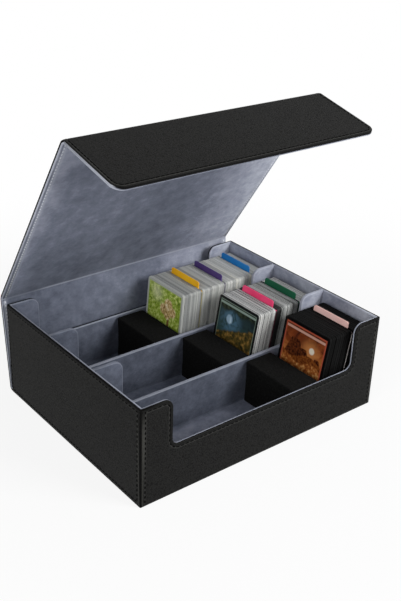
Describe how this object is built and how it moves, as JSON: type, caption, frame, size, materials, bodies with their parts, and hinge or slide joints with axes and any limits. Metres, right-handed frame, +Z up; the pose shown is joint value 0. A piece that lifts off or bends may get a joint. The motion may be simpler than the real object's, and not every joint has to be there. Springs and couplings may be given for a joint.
{
  "type": "trading card storage box",
  "caption": "Leather-covered card storage box with velvet rows, low cut-outs, foam blocks, tabbed dividers and a folding magnetic cover.",
  "frame": {"origin": "middle of the box's underside", "axes": "+X to the right along the front, -Y towards the front, +Z up"},
  "size_m": [0.302, 0.2553, 0.3134],
  "materials": {
    "leather": "matte",
    "velvet": "matte",
    "board": "matte",
    "magnet": "satin",
    "foam": "matte",
    "card": "satin",
    "sleeve": "satin",
    "divider_orange": "satin",
    "divider_purple": "satin",
    "divider_blue": "satin",
    "divider_pink": "satin",
    "divider_green": "satin",
    "divider_rose": "satin"
  },
  "bodies": {
    "box": {"front_leather": "leather", "front_lining": "velvet", "front_board": "board", "rear_leather": "leather", "rear_lining": "velvet", "rear_board": "board", "left_leather": "leather", "left_lining": "velvet", "left_board": "board", "right_leather": "leather", "right_lining": "velvet", "right_board": "board", "base_leather": "leather", "floor_lining": "velvet", "base_board": "board", "front_magnets": "magnet", "rear_partition_front_velvet": "velvet", "rear_partition_rear_velvet": "velvet", "rear_partition_board": "board", "front_partition_front_velvet": "velvet", "front_partition_rear_velvet": "velvet", "front_partition_board": "board", "heel_crease_leather": "leather", "heel_crease_lining": "velvet"},
    "cover_back": {"cover_back_leather": "leather", "cover_back_lining": "velvet", "cover_back_board": "board", "rear_crease_leather": "leather", "rear_crease_lining": "velvet"},
    "cover_top": {"cover_top_leather": "leather", "cover_top_lining": "velvet", "cover_top_board": "board", "front_crease_leather": "leather", "front_crease_lining": "velvet"},
    "flap": {"flap_leather": "leather", "flap_lining": "velvet", "flap_board": "board", "flap_magnets": "magnet"},
    "rear_foam_block": {"rear_foam_block": "foam"},
    "rear_cards_1": {"rear_cards_1": "card"},
    "rear_cards_2": {"rear_cards_2": "card"},
    "rear_cards_3": {"rear_cards_3": "card"},
    "rear_cards_4": {"rear_cards_4": "card"},
    "divider_orange": {"divider_orange": "divider_orange"},
    "divider_purple": {"divider_purple": "divider_purple"},
    "divider_blue": {"divider_blue": "divider_blue"},
    "middle_foam_block": {"middle_foam_block": "foam"},
    "middle_cards_1": {"middle_cards_1": "card"},
    "middle_cards_2": {"middle_cards_2": "card"},
    "middle_cards_3": {"middle_cards_3": "card"},
    "divider_pink": {"divider_pink": "divider_pink"},
    "divider_green": {"divider_green": "divider_green"},
    "front_foam_block": {"front_foam_block": "foam"},
    "front_cards_1": {"front_cards_1": "sleeve"},
    "front_cards_2": {"front_cards_2": "sleeve"},
    "divider_rose": {"divider_rose": "divider_rose"}
  },
  "joints": [
    {"name": "heel_fold", "type": "hinge", "parent": "box", "child": "cover_back", "pos_m": [0, 0.12335, 0.002], "axis": [-1, 0, 0], "range_deg": [-5.05, 84.95], "deforming": ["heel_crease_leather", "heel_crease_lining"]},
    {"name": "rear_fold", "type": "hinge", "parent": "cover_back", "child": "cover_top", "pos_m": [0, 0.13263, 0.10699], "axis": [-1, 0, 0], "range_deg": [-51.13, 38.87], "deforming": ["rear_crease_leather", "rear_crease_lining"]},
    {"name": "front_fold", "type": "hinge", "parent": "cover_top", "child": "flap", "pos_m": [0, -0.00468, 0.31195], "axis": [-1, 0, 0], "range_deg": [-20.28, 69.72], "deforming": ["front_crease_leather", "front_crease_lining"]},
    {"name": "rear_block_slide", "type": "slide", "parent": "box", "child": "rear_foam_block", "axis": [1, 0, 0], "range_m": [-0.12794, 0]},
    {"name": "rear_cards_1_lift", "type": "slide", "parent": "box", "child": "rear_cards_1", "axis": [0.0785, 0, 0.9969], "range_m": [0, 0.033]},
    {"name": "rear_cards_2_lift", "type": "slide", "parent": "box", "child": "rear_cards_2", "axis": [0.0785, 0, 0.9969], "range_m": [0, 0.033]},
    {"name": "rear_cards_3_lift", "type": "slide", "parent": "box", "child": "rear_cards_3", "axis": [0.0785, 0, 0.9969], "range_m": [0, 0.033]},
    {"name": "rear_cards_4_lift", "type": "slide", "parent": "box", "child": "rear_cards_4", "axis": [0.0785, 0, 0.9969], "range_m": [0, 0.033]},
    {"name": "divider_orange_lift", "type": "slide", "parent": "box", "child": "divider_orange", "axis": [0.0785, 0, 0.9969], "range_m": [0, 0.033]},
    {"name": "divider_purple_lift", "type": "slide", "parent": "box", "child": "divider_purple", "axis": [0.0785, 0, 0.9969], "range_m": [0, 0.033]},
    {"name": "divider_blue_lift", "type": "slide", "parent": "box", "child": "divider_blue", "axis": [0.0785, 0, 0.9969], "range_m": [0, 0.033]},
    {"name": "middle_block_slide", "type": "slide", "parent": "box", "child": "middle_foam_block", "axis": [1, 0, 0], "range_m": [-0.16025, 0]},
    {"name": "middle_cards_1_lift", "type": "slide", "parent": "box", "child": "middle_cards_1", "axis": [0.165, 0, 0.9863], "range_m": [0, 0.1]},
    {"name": "middle_cards_2_lift", "type": "slide", "parent": "box", "child": "middle_cards_2", "axis": [0.165, 0, 0.9863], "range_m": [0, 0.1]},
    {"name": "middle_cards_3_lift", "type": "slide", "parent": "box", "child": "middle_cards_3", "axis": [0.165, 0, 0.9863], "range_m": [0, 0.1]},
    {"name": "divider_pink_lift", "type": "slide", "parent": "box", "child": "divider_pink", "axis": [0.165, 0, 0.9863], "range_m": [0, 0.1]},
    {"name": "divider_green_lift", "type": "slide", "parent": "box", "child": "divider_green", "axis": [0.165, 0, 0.9863], "range_m": [0, 0.1]},
    {"name": "front_block_slide", "type": "slide", "parent": "box", "child": "front_foam_block", "axis": [1, 0, 0], "range_m": [-0.18418, 0]},
    {"name": "front_cards_1_lift", "type": "slide", "parent": "box", "child": "front_cards_1", "axis": [0.165, 0, 0.9863], "range_m": [0, 0.1]},
    {"name": "front_cards_2_lift", "type": "slide", "parent": "box", "child": "front_cards_2", "axis": [0.165, 0, 0.9863], "range_m": [0, 0.1]},
    {"name": "divider_rose_lift", "type": "slide", "parent": "box", "child": "divider_rose", "axis": [0.165, 0, 0.9863], "range_m": [0, 0.1]}
  ]
}
